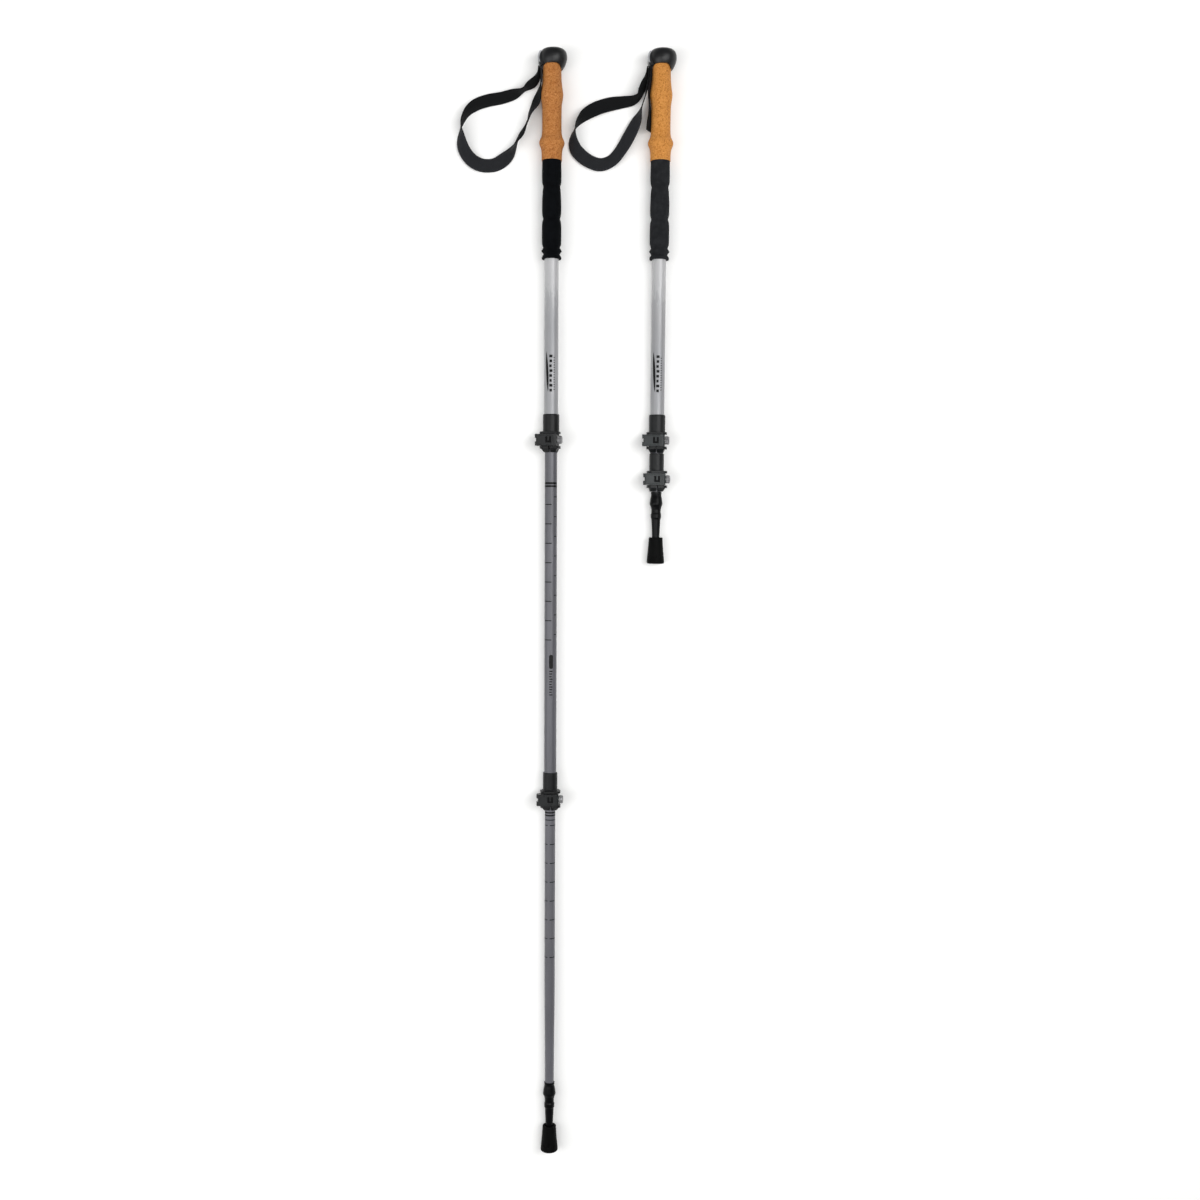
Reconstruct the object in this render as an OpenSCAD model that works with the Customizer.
// A pair of three-section trekking poles that lie on a flat surface.
// The left pole is drawn out to its full length and the right pole is pushed together.
// The poles lie along Y with their handles at +Y. The origin is on the surface, midway
// between the outermost points of the two poles.
// Every part is modelled on its own section's axis, which is Z with the handle upwards, and
// whose -Y side is the side that faces up once the pole lies down.

/* [Shafts] */
// Outside diameter of the upper shaft
upper_d = 18; // [17.6:0.1:18.4]
// Outside diameter of the middle shaft
middle_d = 15.8; // [15.4:0.1:16]
// Outside diameter of the lower shaft
lower_d = 13.6; // [13.2:0.1:13.8]
// Wall thickness of all three shafts
wall = 0.8; // [0.7:0.05:0.85]
// Diameter of the lower shaft's narrow end
lower_end_d = 11.5; // [11:0.1:12]
// Length over which the lower shaft narrows
taper_l = 130; // [80:5:160]

/* [Lengths] */
// Visible length of the middle shaft when it is drawn out
middle_shown = 415.6; // [300:0.2:420]
// Visible length of the lower shaft when it is drawn out
lower_shown = 364.2; // [300:0.2:400]
// Length of shaft that stays inside the section above when drawn out
overlap = 45; // [40:1:55]
// Gap left between two sections when they are pushed together
closed_gap = 0.5; // [0.3:0.1:2]

/* [Pair] */
// Distance between the two poles' axes at their heads
pair_spacing = 139; // [120:0.5:200]
// Angle in degrees by which the right pole's foot swings towards the left pole
right_yaw = 0.3; // [0:0.1:2]

/* [Handle] */
// Radius of the head's widest circle
head_r = 17.4; // [16.5:0.1:18]
// Sideways lean of the head away from the strap
head_lean = 1.8; // [1:0.1:2.4]
// Distance from the head's top to the cork's arched top edge
cork_top = 19.5; // [19:0.5:20.5]
// Half the width of the arch where head and cork meet
arch_half = 11.8; // [11.6:0.1:12]
// Radius of the arch's two upper corners
arch_corner = 6; // [5:0.5:8]
// Distance from the head's top to the cork's lower edge
cork_end = 138.6; // [138:0.2:139.4]
// Distance from the head's top to the foam's lower edge
foam_end = 262.4; // [262:0.2:263]
// Visible length of the upper shaft between foam and lock
upper_shown = 197; // [150:0.2:220]

/* [Strap] */
// Width of the wrist strap's webbing
strap_w = 17; // [15:0.5:18]
// Thickness of the solid that stands for the webbing
strap_t = 1.6; // [1.4:0.1:2]

/* [Locks] */
// Height of a lock from its lower end to the top of its sleeve
clamp_h = 49; // [47:0.5:52]
// Height of a lock below its sleeve
body_h = 27; // [26:0.5:28]
// Distance from the shaft's axis to the tension screw's axis
screw_out = 12.5; // [12.4:0.1:13]
// Diameter of the tension screw
screw_d = 4; // [3.5:0.1:4.2]
// Diameter of the thumb knob
knob_d = 10.5; // [9:0.5:11]

/* [Tip] */
// Height of the rubber foot
foot_h = 34; // [33.5:0.5:38]
// Largest radius of the rubber foot
foot_r = 11.3; // [11:0.1:12]
// Distance from the foot's end face to the ferrule's upper edge
ferrule_top = 92.8; // [92:0.2:96]

/* [Hidden] */
$fn = 64;
SIDES = ["left", "right"];
PARTS = [
    "head_cap", "strap_wedge", "anchor_pin", "grip_core", "cork_grip", "foam_grip", "wrist_strap",
    "upper_shaft", "upper_clamp", "upper_lever", "upper_barrel_nut", "upper_screw",
    "upper_thumb_knob", "upper_washer",
    "middle_shaft", "middle_bushing", "lower_clamp", "lower_lever", "lower_barrel_nut",
    "lower_screw", "lower_thumb_knob", "lower_washer",
    "lower_shaft", "lower_bushing", "ferrule", "carbide_tip", "rubber_foot", "foot_insert"
];

// Radii of the shafts
upper_r = upper_d / 2;
middle_r = middle_d / 2;
lower_r = lower_d / 2;
running = 0.05;                 // radial clearance of a running fit
// Heights in the upper section, measured from the upper lock's lower end
head_top = clamp_h + upper_shown + foam_end;
head_wide = 9.5;                // from the head's top to its widest circle
lip_end = 24.2;                 // from the head's top to the tips of its lips
shaft_top = head_top - 29;      // the upper shaft's end inside the head
stem_end = head_top - 44;       // the head's stem inside the upper shaft
// Heights in the middle and lower sections
middle_l = clamp_h + middle_shown + overlap;
lower_l = ferrule_top + lower_shown + overlap;
bush_l = 18;                    // guide bushing's bearing length
bush_stem = 15;                 // its stem inside the shaft
seat = 0.2;                     // gap under a shaft's end in its sleeve
lower_start = ferrule_top - 13; // the lower shaft's end inside the ferrule

// How far each section is drawn out of the one above, left pole first
middle_out = [middle_shown, closed_gap];
lower_out = [lower_shown, closed_gap];
lock_turn = [[-8, 4], [-5, 2]]; // how far each lock is turned round its shaft, upper first
rest_r = 2.5;                   // height of the foot's widest circle above its end face
contact_l = [for (i = [0, 1]) head_top - head_wide + clamp_h + middle_out[i]
    + ferrule_top + lower_out[i] - rest_r];
tilt = [for (l = contact_l) asin((head_r - foot_r) / l)];
yaw = [0, -right_yaw];
pair_l = head_top + clamp_h + middle_shown + lower_shown + ferrule_top;
top_y = pair_l / 2;             // both heads' tops
wedge_out = 17.9;               // the wedge's outermost point, from the pole's axis
pole_x = [for (s = [-1, 1]) s * pair_spacing / 2 - (head_r + head_lean - wedge_out) / 2];

// The straps' middle lines as [across from the pole's axis, below the head's top,
// height above the surface, roll of the webbing in degrees]
left_route = [
    [-15.8, 22.5, 18, 90], [-16.4, 29.5, 18, 94], [-19.2, 35.5, 17.2, 108],
    [-24, 40.5, 16, 116], [-30, 44.6, 14.4, 108], [-36.8, 48.6, 13, 100],
    [-49.5, 53.6, 11, 138], [-64.5, 57.5, 8.5, 168], [-81.5, 60.5, 8, 172], [-97, 66, 8.5, 150],
    [-109, 76, 9.4, 120], [-115.7, 91, 9.8, 92], [-116.3, 106.5, 9.4, 60],
    [-113, 121.5, 7.5, 32], [-103.5, 134.5, 5, 12], [-89.5, 141, 3.4, 0], [-72.5, 140, 3.4, 4],
    [-57.5, 131, 7, 40], [-47.5, 119, 9.8, 82], [-39, 105, 9.8, 112], [-32, 91, 10, 112],
    [-27.6, 76.5, 11.6, 94], [-20.6, 64.5, 14, 108], [-16.4, 52, 16.6, 98],
    [-13.9, 38, 18, 88], [-13.4, 22.5, 18, 90]
];
right_route = [
    [-17, 22.5, 18, 90], [-19, 33.3, 17.8, 83], [-22, 41.7, 17, 72], [-25, 49.4, 15.5, 78],
    [-28.4, 56, 13.5, 98], [-37, 60.7, 11, 140], [-50.8, 62.4, 8.5, 170], [-66, 64.8, 8, 176],
    [-80.4, 69.3, 8.5, 162], [-94.2, 76.4, 9.2, 140], [-103, 84.4, 9.8, 114],
    [-109, 94, 9.8, 90], [-112, 107.5, 9, 56], [-108, 121.8, 6, 22], [-95, 133.3, 3.6, 0],
    [-78, 139.5, 3.4, -4], [-62.8, 135, 5.6, -26], [-51.5, 123, 8, -38],
    [-41.2, 106, 9.4, -40], [-32, 87.8, 11, -46], [-25.7, 71.6, 13.5, -60],
    [-21.2, 58.8, 16, -76], [-18.5, 48.6, 17.4, -82], [-15.9, 37, 17.8, -86],
    [-15, 22.5, 18, -90]
];
tail_route = [
    [-12.8, 22.5, 18, 90], [-13.2, 37, 18, 90], [-15.7, 50.7, 18, 90], [-15.8, 58.4, 18, 90],
    [-14.8, 68, 18, 86], [-14.5, 79.5, 17.6, 78], [-15.2, 90, 17, 70], [-15.9, 100.5, 16.6, 66]
];

band_steps = 3;                 // pieces of webbing between neighbouring points of a route

// Outlines as [radius, distance below the head's top]
head_line = [
    [10.5, 0], [13.2, 0.4], [15.2, 2], [16.5, 4.2], [17.2, 6.8], [head_r, head_wide],
    [17.1, 12.6], [16.5, 15.2], [15.6, 17.8], [14.4, 20.4], [13.1, 22.6], [12, lip_end]
];
cork_line = [
    [12.2, cork_top - 1], [12, 25], [12, 30], [12.2, 37], [13.2, 47], [14.4, 55.5], [13.8, 61.5],
    [12.7, 69], [12.4, 82], [12.4, 99], [13.2, 108], [16.2, 116], [13.7, 124], [13, 131],
    [12.9, cork_end]
];
foam_line = [
    [12.2, cork_end], [12.2, 146], [12.4, 155], [12.3, 163.5], [11.8, 167.5], [10.7, 171],
    [11.4, 175.5], [11.8, 182], [12.2, 193], [12.2, 203.5], [11.8, 207.5], [10.8, 211.5],
    [11.8, 215.5], [12.3, 220.5], [12.4, 234], [12.3, 241], [11.9, 244.5], [10.6, 247.8],
    [11.9, 250.2], [12.9, 252.2], [11.8, 254], [10.3, 256.2], [11.4, 258.2], [12.6, 260.4],
    [12.2, foam_end]
];
foot_line = [
    [8.2, 0], [10.4, 0.3], [11.1, 1.1], [foot_r, rest_r], [11.2, 4], [10.9, 7], [10.2, 14],
    [9.5, 23], [9.1, 29], [9, 31.5], [9, 33], [8.6, foot_h]
];
ferrule_line = [
    [5, 20], [4.9, 36], [5.2, 44], [5.8, 56.5], [6, 58], [6.7, 59.6], [6.7, 64], [6.1, 65.6],
    [6.1, 70], [6.8, 73.2], [8.1, 76.2], [8.25, 78.4], [7.4, 84.5], [6.6, 88.4], [6.5, 89.6],
    [6.8, 90.4], [6.8, ferrule_top]
];

// A smooth curve through the points, with n steps between neighbours
function curve(p, n = 4) = [
    for (i = [0 : len(p) - 2], k = [0 : n - (i == len(p) - 2 ? 0 : 1)])
    let (t = k / n, a = p[max(i - 1, 0)], b = p[i], c = p[i + 1], d = p[min(i + 2, len(p) - 1)])
    0.5 * (2 * b + (c - a) * t + (2 * a - 5 * b + 4 * c - d) * t ^ 2
        + (3 * b - a - 3 * c + d) * t ^ 3)
];

// A solid of revolution from an outline, with a straight bore of radius bore_r
module turned(line, bore_r, bottom, top) {
    rotate_extrude()
        polygon(concat([[bore_r, bottom]], line, [[bore_r, top]]));
}

// An outline measured down from the head's top, as heights in the upper section
function from_top(line) = [for (p = line) [p[0], head_top - p[1]]];

module tube(r, inner_r, bottom, top) {
    translate([0, 0, bottom])
        difference() {
            cylinder(r = r, h = top - bottom);
            translate([0, 0, -1])
                cylinder(r = inner_r, h = top - bottom + 2);
        }
}

// Places the upper, middle and lower sections of pole i
module on_upper(i) {
    translate([pole_x[i], top_y - head_wide, head_r])
        rotate([0, 0, yaw[i]])
            rotate([tilt[i] - 90, 0, 0])
                translate([0, 0, head_wide - head_top])
                    children();
}

module on_middle(i) {
    on_upper(i)
        translate([0, 0, -clamp_h - middle_out[i]])
            children();
}

module on_lower(i) {
    on_middle(i)
        translate([0, 0, -ferrule_top - lower_out[i]])
            children();
}

// Turns a lock's parts to the angle at which the lock was fixed on its shaft
module on_upper_lock(i) {
    on_upper(i)
        rotate([0, 0, lock_turn[i][0]])
            children();
}

module on_lower_lock(i) {
    on_middle(i)
        rotate([0, 0, lock_turn[i][1]])
            children();
}

// ---- Handle ----

slot_half = strap_w / 2 + 0.2;  // half the width of the opening that the webbing leaves by
wedge_r = 14;                   // radius of the wedge's rounded back
wedge_in = -10.6;               // the wedge's inner face
wedge_down = [3.3, 20.7];       // the wedge's two ends, below the head's top
pin_x = -8.3;                   // the anchor pin, from the pole's axis
pin_down = 12.4;                // the anchor pin, below the head's top
pin_r = 1.5;
fit_gap = 0.4;                  // gap round the wedge in its pocket
flat_x = -11.6;                 // the flat on the cork that the webbing lies on
stem_d = upper_d - 2 * wall;

// A box given by its limits across, front to back and below the head's top
module down_box(x, y, d) {
    translate([x[0], y[0], head_top - d[1]])
        cube([x[1] - x[0], y[1] - y[0], d[1] - d[0]]);
}

// The arched opening in the head that the cork's upper end fills, grown by a gap
module arch(gap) {
    x = arch_half - arch_corner;
    z = head_top - cork_top - arch_corner;
    r = arch_corner + gap;
    translate([0, 30, 0])
        rotate([90, 0, 0])
            linear_extrude(60)
                polygon(concat(
                    [[-x - r, z - 10]],
                    [for (a = [180 : -7.5 : 90]) [r * cos(a) - x, z + r * sin(a)]],
                    [for (a = [90 : -7.5 : 0]) [r * cos(a) + x, z + r * sin(a)]],
                    [[x + r, z - 10]]));
}

module head_cap() {
    color("#2a292a")
        difference() {
            union() {
                difference() {
                    translate([head_lean, 0, 0])
                        turned(from_top(concat([[0, 0]], curve(head_line, 5))), 0,
                            head_top, head_top - lip_end);
                    arch(0.05);
                }
                // the plug in the core and the stem in the upper shaft
                translate([0, 0, shaft_top])
                    cylinder(r = upper_r + 0.95, h = head_top - pin_down - shaft_top);
                translate([0, 0, stem_end])
                    cylinder(d = stem_d, h = shaft_top - stem_end + 1);
            }
            // the wedge's pocket, the space behind it and the webbing's way out
            down_box([-30, wedge_in + fit_gap], [-slot_half, slot_half],
                wedge_down + [-fit_gap, fit_gap]);
            down_box([wedge_in, pin_x + 2.3], [-slot_half, slot_half],
                [pin_down - 4.4, pin_down + 3.6]);
            down_box([-30, flat_x - 0.4], [-slot_half, slot_half], [wedge_down[1], lip_end + 1]);
            translate([pin_x, 12, head_top - pin_down])
                rotate([90, 0, 0])
                    cylinder(r = pin_r, h = 24);
        }
}

module strap_wedge() {
    color("#8b8d8f")
        difference() {
            intersection() {
                translate([wedge_r - wedge_out, strap_w / 2 - 0.1, head_top - 12])
                    rotate([90, 0, 0])
                        cylinder(r = wedge_r, h = strap_w - 0.2);
                down_box([-20, wedge_in], [-20, 20], wedge_down);
            }
            // two finger grooves across the back
            for (d = [9, 13])
                translate([-wedge_out - 0.4, 20, head_top - d])
                    rotate([90, 0, 0])
                        cylinder(r = 0.8, h = 40);
        }
}

module anchor_pin() {
    color("silver")
        translate([pin_x, 11.5, head_top - pin_down])
            rotate([90, 0, 0])
                cylinder(r = pin_r, h = 23);
}

module grip_core() {
    color("#1c1c1d")
        tube(upper_r + 1, upper_r, head_top - cork_end + 4, shaft_top);
}

module cork_grip() {
    color("#c07d42")
        difference() {
            turned(from_top(curve(cork_line, 5)), upper_r + 1, head_top - cork_top + 1,
                head_top - cork_end);
            // the arched top, and the flat that the webbing lies on
            difference() {
                down_box([-20, 20], [-20, 20], [0, cork_top + arch_corner]);
                arch(0);
            }
            down_box([-20, flat_x], [-slot_half, slot_half], [cork_top - 1, cork_top + 14]);
        }
}

module foam_grip() {
    color("#1b1c1e")
        turned(from_top(curve(foam_line, 3)), upper_r, head_top - cork_end,
            head_top - foam_end);
}

// ---- Webbing ----

function unit(v) = v / norm(v);

// Four corners of the flat section at point k of a route, round its middle line
function flat_ring(p, roll, k) =
    let (
        t = unit(p[min(k + 1, len(p) - 1)] - p[max(k - 1, 0)]),
        s = unit(cross([0, 0, 1], t)),
        w = s * cos(roll[k]) + cross(t, s) * sin(roll[k]),
        n = cross(t, w)
    )
    [for (c = [[1, -1], [1, 1], [-1, 1], [-1, -1]])
        p[k] + w * c[0] * strap_w / 2 + n * c[1] * strap_t / 2];

// A flat band along a route of pole i. Its two wide faces are cut along the same diagonals,
// so that it keeps its thickness where it twists.
module band(route, i) {
    q = curve(route, band_steps);
    p = [for (c = q) [pole_x[i] + c[0], top_y - c[1], c[2]]];
    roll = [for (c = q) c[3]];
    end = len(p) * 4 - 4;
    sides = [for (k = [0 : len(p) - 2], j = [0 : 3])
        let (a = k * 4 + j, a2 = k * 4 + (j + 1) % 4, b = a + 4, b2 = a2 + 4)
        each j < 2 ? [[a, a2, b], [a2, b2, b]] : [[a, a2, b2], [a, b2, b]]];
    caps = [[0, 2, 1], [0, 3, 2], [end, end + 1, end + 2], [end, end + 2, end + 3]];
    color("#3a3b3d")
        polyhedron([for (k = [0 : len(p) - 1]) each flat_ring(p, roll, k)],
            concat(sides, caps));
}

// ---- Shafts ----

module upper_shaft() {
    color("#b9babd")
        tube(upper_r, upper_r - wall, body_h + seat, shaft_top);
}

module middle_shaft() {
    color("#6c6d72")
        tube(middle_r, middle_r - wall, body_h + seat, middle_l - bush_l);
}

module lower_shaft() {
    end_r = lower_end_d / 2;
    color("#606165")
        rotate_extrude()
            polygon([[end_r - wall, lower_start], [end_r, lower_start], [end_r, ferrule_top],
                [lower_r, ferrule_top + taper_l], [lower_r, lower_l - bush_l],
                [lower_r - wall, lower_l - bush_l], [lower_r - wall, ferrule_top + taper_l],
                [end_r - wall, ferrule_top]]);
}

// A guide bushing on the top end of a shaft, running in the shaft above
module bushing(run_r, stem_r, top) {
    color("#d8d5c8")
        difference() {
            rotate_extrude()
                polygon([[3, top - bush_l - bush_stem], [stem_r - 0.6, top - bush_l - bush_stem],
                    [stem_r, top - bush_l - bush_stem + 1.5], [stem_r, top - bush_l],
                    [run_r, top - bush_l], [run_r, top - bush_l + 4], [run_r - 0.5, top - 13],
                    [run_r - 0.5, top - 6], [run_r, top - 5], [run_r, top - 1], [run_r - 1, top],
                    [3, top]]);
            // a cross slot that makes the head springy
            for (a = [0, 90])
                rotate([0, 0, a])
                    translate([-20, -0.8, top - 9])
                        cube([40, 1.6, 12]);
        }
}

// ---- Lock ----

ring_r = upper_r + 1.3;         // the clamp ring round the inner shaft
screw_z = 15.6;                 // the tension screw's height
ear_z = [7.6, 22.6];            // the clamp's ears, lowest and highest
ear_out = screw_out + 3.3;      // the ears' front face
ear_x = [-9.6, 9.4];            // the ears' side faces
rib_z = [[4.6, 7.8], [23.4, 26.2]]; // the clamp's two ribs, below and above the lever
rib_half = 13.2;                // half the ribs' width
barrel_x = -14.4;               // the lever's pivot
barrel_r = 2.5;
cam_r = 4;
plate_out = [screw_out + 3.8, screw_out + 6.4]; // the lever plate's inner and outer faces
knob_x = [10.8, 16.4];          // the thumb knob's two faces
lever_z = [8.2, 22.9];

// A rib's outline across the shaft
rib_line = [
    [-10, 2], [0.3 - rib_half, -2], [-rib_half, -9], [-12, -13.5], [-8.5, -16], [8.5, -16],
    [12, -13.5], [rib_half, -9], [rib_half - 0.3, -2], [10, 2]
];

// The clamp on the lower end of a shaft of radius outer_r, round an inner shaft
module clamp(outer_r, inner_r) {
    sleeve_r = outer_r + 1.5;
    slope_z = rib_z[0][0] + 0.1;
    color("#2f3031")
        difference() {
            union() {
                rotate_extrude()
                    polygon(concat(
                        [[0, 0], [ring_r - 1.9, 0], [ring_r, slope_z], [ring_r, body_h - 1],
                            [sleeve_r, body_h - 0.2]],
                        [for (a = [0 : 15 : 90])
                            [sleeve_r - 1.2 + 1.2 * cos(a), clamp_h - 1.2 + 1.2 * sin(a)]],
                        [[0, clamp_h]]));
                intersection() {
                    translate([ear_x[0], -ear_out, ear_z[0]])
                        cube([ear_x[1] - ear_x[0], ear_out - 5, ear_z[1] - ear_z[0]]);
                    translate([-0.1, 0, 0])
                        cylinder(r = ear_out + 1.6, h = body_h);
                }
                for (z = rib_z)
                    translate([0, 0, z[0]])
                        linear_extrude(z[1] - z[0])
                            polygon(rib_line);
                // the slope from the lower rib down to the shaft
                intersection() {
                    translate([-12, 0, 0])
                        rotate([90, 0, 90])
                            linear_extrude(24)
                                polygon([[-8, 0.4], [-9.4, 0.4], [-15.4, slope_z], [-8, slope_z]]);
                    rotate([90, 0, 0])
                        linear_extrude(20)
                            polygon([[-7.9, 0], [-11, slope_z + 1], [11, slope_z + 1],
                                [7.9, 0]]);
                }
            }
            translate([0, 0, -1])
                cylinder(r = inner_r + running, h = clamp_h);
            translate([0, 0, body_h])
                cylinder(r = outer_r, h = clamp_h);
            // the slit that lets the ring close, and the cross slot that frees it
            translate([-0.8, -ear_out - 1, -1])
                cube([1.6, ear_out + 1, ear_z[1] + 1.4]);
            translate([-15, -18, ear_z[1]])
                cube([30, 16, rib_z[1][0] - ear_z[1]]);
            translate([-20, -screw_out, screw_z])
                rotate([0, 90, 0])
                    cylinder(r = screw_d / 2 + running, h = 40);
        }
}

// The lever plate's outline across the shaft, closed, from its pivot to its free edge
function plate_line() =
    let (in = plate_out[0], out = plate_out[1], left = barrel_x - 3.7)
    [[left, -screw_out], [left, 1.8 - out], [left + 0.8, 0.8 - out], [barrel_x, 0.15 - out],
        [-4, -out], [5, -out], [8.6, 0.6 - out], [10.3, 1.6 - out], [10.3, -in],
        [barrel_x + 1.5, -in], [barrel_x + 3, -screw_out - 2]];

module lever() {
    in = plate_out[0];
    out = plate_out[1];
    color("#38393a")
        difference() {
            translate([0, 0, lever_z[0]]) {
                linear_extrude(lever_z[1] - lever_z[0])
                    polygon(plate_line());
                translate([barrel_x + 0.25, -screw_out, 0])
                    cylinder(r = cam_r, h = lever_z[1] - lever_z[0]);
            }
            // the barrel nut's bore, the screw's notch and the gap between the two prongs
            translate([barrel_x, -screw_out, lever_z[0] - 1])
                cylinder(r = barrel_r + running, h = lever_z[1]);
            translate([-30, -in, screw_z - 2.5])
                cube([40, 30, 5]);
            translate([-30, -out - 1, screw_z - 2.2])
                cube([30 + barrel_x - 1.9, 30, 4.4]);
            // grip ribs beside the free edge
            for (x = [5.2 : 1.4 : 8])
                translate([x, -out - 1, lever_z[0] + 1.8])
                    cube([0.7, 1.5, lever_z[1] - lever_z[0] - 3.6]);
            // shallow grooves along the plate's two long edges
            for (z = [lever_z[0] + 1.4, lever_z[1] - 2])
                translate([-13.4, -out - 1, z])
                    cube([17.4, 1.35, 0.6]);
            // a recessed square mark with a bar left standing in it
            difference() {
                translate([-4.1, -out - 1, screw_z - 3.8])
                    cube([7.4, 2.2, 7.8]);
                translate([-1.5, -out - 1, screw_z - 1.4])
                    cube([2.2, 3, 8]);
            }
        }
}

module barrel_nut() {
    color("silver")
        difference() {
            translate([barrel_x, -screw_out, lever_z[0] + 0.4])
                cylinder(r = barrel_r, h = lever_z[1] - lever_z[0] - 0.8);
            translate([barrel_x - 4, -screw_out, screw_z])
                rotate([0, 90, 0])
                    cylinder(r = screw_d / 2 + running, h = 8);
        }
}

module tension_screw() {
    color("silver")
        translate([barrel_x - 2, -screw_out, screw_z])
            rotate([0, 90, 0])
                cylinder(r = screw_d / 2, h = knob_x[1] - 1.2 - barrel_x + 2);
}

module thumb_knob() {
    flutes = 12;
    color("#8d8a8b")
        translate([knob_x[0], -screw_out, screw_z])
            rotate([0, 90, 0])
                difference() {
                    rotate_extrude()
                        polygon([[0, 0], [knob_d / 2 - 0.6, 0], [knob_d / 2, 0.6],
                            [knob_d / 2, 4.6], [knob_d / 2 - 1, 5.6], [0, 5.6]]);
                    translate([0, 0, -1])
                        cylinder(r = screw_d / 2, h = knob_x[1] - knob_x[0] - 0.2);
                    for (a = [0 : flutes - 1])
                        rotate([0, 0, a * 360 / flutes])
                            translate([knob_d / 2 + 0.35, 0, -1])
                                cylinder(r = 0.8, h = 8, $fn = 24);
                }
}

module washer() {
    color("silver")
        translate([9.5, -screw_out, screw_z])
            rotate([0, 90, 0])
                tube(3.6, screw_d / 2 + 0.1, 0, 1.1);
}

// ---- Tip ----

module ferrule() {
    color("#202122")
        difference() {
            turned(ferrule_line, 0, 20, ferrule_top);
            translate([0, 0, lower_start])
                cylinder(r = lower_end_d / 2, h = ferrule_top);
            translate([0, 0, 10])
                cylinder(r = 2.6, h = 22);
        }
}

module carbide_tip() {
    color("silver")
        difference() {
            union() {
                translate([0, 0, 12])
                    cylinder(r = 2.6, h = 20);
                translate([0, 0, 9])
                    cylinder(r1 = 3.4, r2 = 4, h = 10.8);
            }
            // the hollow, toothed end that bites into the ground
            translate([0, 0, 8])
                cylinder(r1 = 2.8, r2 = 1, h = 3);
            for (a = [0, 90])
                rotate([0, 0, a])
                    translate([-6, -0.7, 8])
                        cube([12, 1.4, 2.2]);
        }
}

module rubber_foot() {
    flutes = 10;
    color("#151617")
        difference() {
            turned(foot_line, 0, 0, foot_h);
            // the socket for the ferrule, and the space round the carbide tip
            rotate_extrude()
                polygon([[0, 7.5], [6, 7.5], [6, 19], [5.3, 22], [5.3, foot_h - 4],
                    [6.2, foot_h - 1.5], [6.6, foot_h + 1], [0, foot_h + 1]]);
            // long flutes that run out towards the top
            for (a = [0 : flutes - 1])
                rotate([0, 0, (a + 0.5) * 360 / flutes])
                    translate([foot_r + 1.7, 0, 8])
                        cylinder(r = 3, h = foot_h);
        }
}

module foot_insert() {
    color("silver")
        tube(5.8, 1.5, 7.5, 8.7);
}

// ---- Both poles ----

for (i = [0, 1]) {
    side = SIDES[i];
    on_upper(i) head_cap();
    on_upper(i) strap_wedge();
    on_upper(i) anchor_pin();
    on_upper(i) grip_core();
    on_upper(i) cork_grip();
    on_upper(i) foam_grip();
    band(i == 0 ? left_route : right_route, i);
    on_upper(i) upper_shaft();
    on_upper_lock(i) clamp(upper_r, middle_r);
    on_upper_lock(i) lever();
    on_upper_lock(i) barrel_nut();
    on_upper_lock(i) tension_screw();
    on_upper_lock(i) thumb_knob();
    on_upper_lock(i) washer();
    on_middle(i) middle_shaft();
    on_middle(i) bushing(upper_r - wall - running, middle_r - wall, middle_l);
    on_lower_lock(i) clamp(middle_r, lower_r);
    on_lower_lock(i) lever();
    on_lower_lock(i) barrel_nut();
    on_lower_lock(i) tension_screw();
    on_lower_lock(i) thumb_knob();
    on_lower_lock(i) washer();
    on_lower(i) lower_shaft();
    on_lower(i) bushing(middle_r - wall - running, lower_r - wall, lower_l);
    on_lower(i) ferrule();
    on_lower(i) carbide_tip();
    on_lower(i) rubber_foot();
    on_lower(i) foot_insert();
}
band(tail_route, 1);  // right_strap_tail
